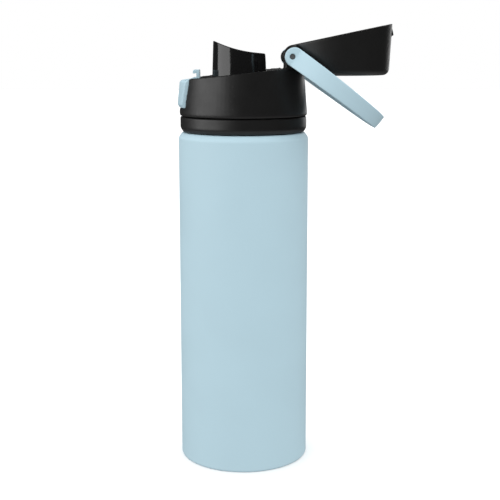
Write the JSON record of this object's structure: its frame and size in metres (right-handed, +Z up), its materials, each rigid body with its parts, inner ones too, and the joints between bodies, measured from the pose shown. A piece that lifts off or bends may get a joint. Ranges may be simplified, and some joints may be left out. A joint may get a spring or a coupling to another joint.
{
  "type": "water bottle",
  "caption": "Insulated drinks bottle with a screw lid, a chug spout under a hinged flip cap, a push-button latch and a folding carry handle.",
  "frame": {"origin": "centre of the base on the bottle's axis, on the surface it stands on", "axes": "+Z up along the bottle's axis, +X towards the hinge and the open cap, +Y away from the viewer who has the hinge on the right"},
  "size_m": [0.1202, 0.0734, 0.2477],
  "materials": {
    "powder_coat": "pale blue powder coat, matt, very fine texture",
    "bare_steel": "bare 18/8 stainless steel, drawn and brushed round",
    "solder": "grey glass solder bead",
    "black_moulding": "near-black polypropylene, fine satin texture",
    "gloss_black": "polished black plastic",
    "blue_moulding": "pale blue plastic to match the bottle, satin",
    "silicone": "translucent white food silicone, soft sheen",
    "pin_steel": "drawn stainless wire and pin",
    "washer_nylon": "black nylon"
  },
  "bodies": {
    "bottle": {"outer_shell": "powder_coat", "base_plate": "powder_coat", "vacuum_plug": "solder", "getter_capsule": "bare_steel", "inner_liner": "bare_steel", "threaded_neck": "bare_steel"},
    "gasket": {"mouth_gasket": "silicone"},
    "lid": {"lid_collar": "black_moulding", "lid_base": "black_moulding", "lid_housing": "black_moulding", "drinking_spout": "gloss_black", "spout_gasket": "silicone", "hinge_pin": "pin_steel", "pin_washers": "washer_nylon", "latch_spring": "pin_steel"},
    "latch": {"latch_button": "blue_moulding"},
    "cap": {"cap_shell": "black_moulding", "spout_seal": "silicone", "seal_carrier": "black_moulding"},
    "handle": {"carry_handle": "blue_moulding"}
  },
  "joints": [
    {"name": "lid_lift", "type": "slide", "parent": "bottle", "child": "gasket", "axis": [0, 0, 1], "range_m": [0, 0.0051]},
    {"name": "lid_turn", "type": "hinge", "parent": "gasket", "child": "lid", "pos_m": [0, 0, 0.2], "axis": [0, 0, 1], "range_deg": [0, 450]},
    {"name": "latch_press", "type": "slide", "parent": "lid", "child": "latch", "axis": [1, 0, 0], "range_m": [0, 0.002], "stiffness_N_per_m": 900, "deforming": ["latch_spring"]},
    {"name": "cap_hinge", "type": "hinge", "parent": "lid", "child": "cap", "pos_m": [0.026, 0, 0.2296], "axis": [0, -1, 0], "range_deg": [0, 174.2]},
    {"name": "handle_hinge", "type": "hinge", "parent": "lid", "child": "handle", "pos_m": [0.026, 0, 0.2296], "axis": [0, -1, 0], "range_deg": [0, 222.7]}
  ],
  "couplings": [
    {"joint": "lid_lift", "follows": "lid_turn", "m_per_rad": 0.00063662}
  ]
}
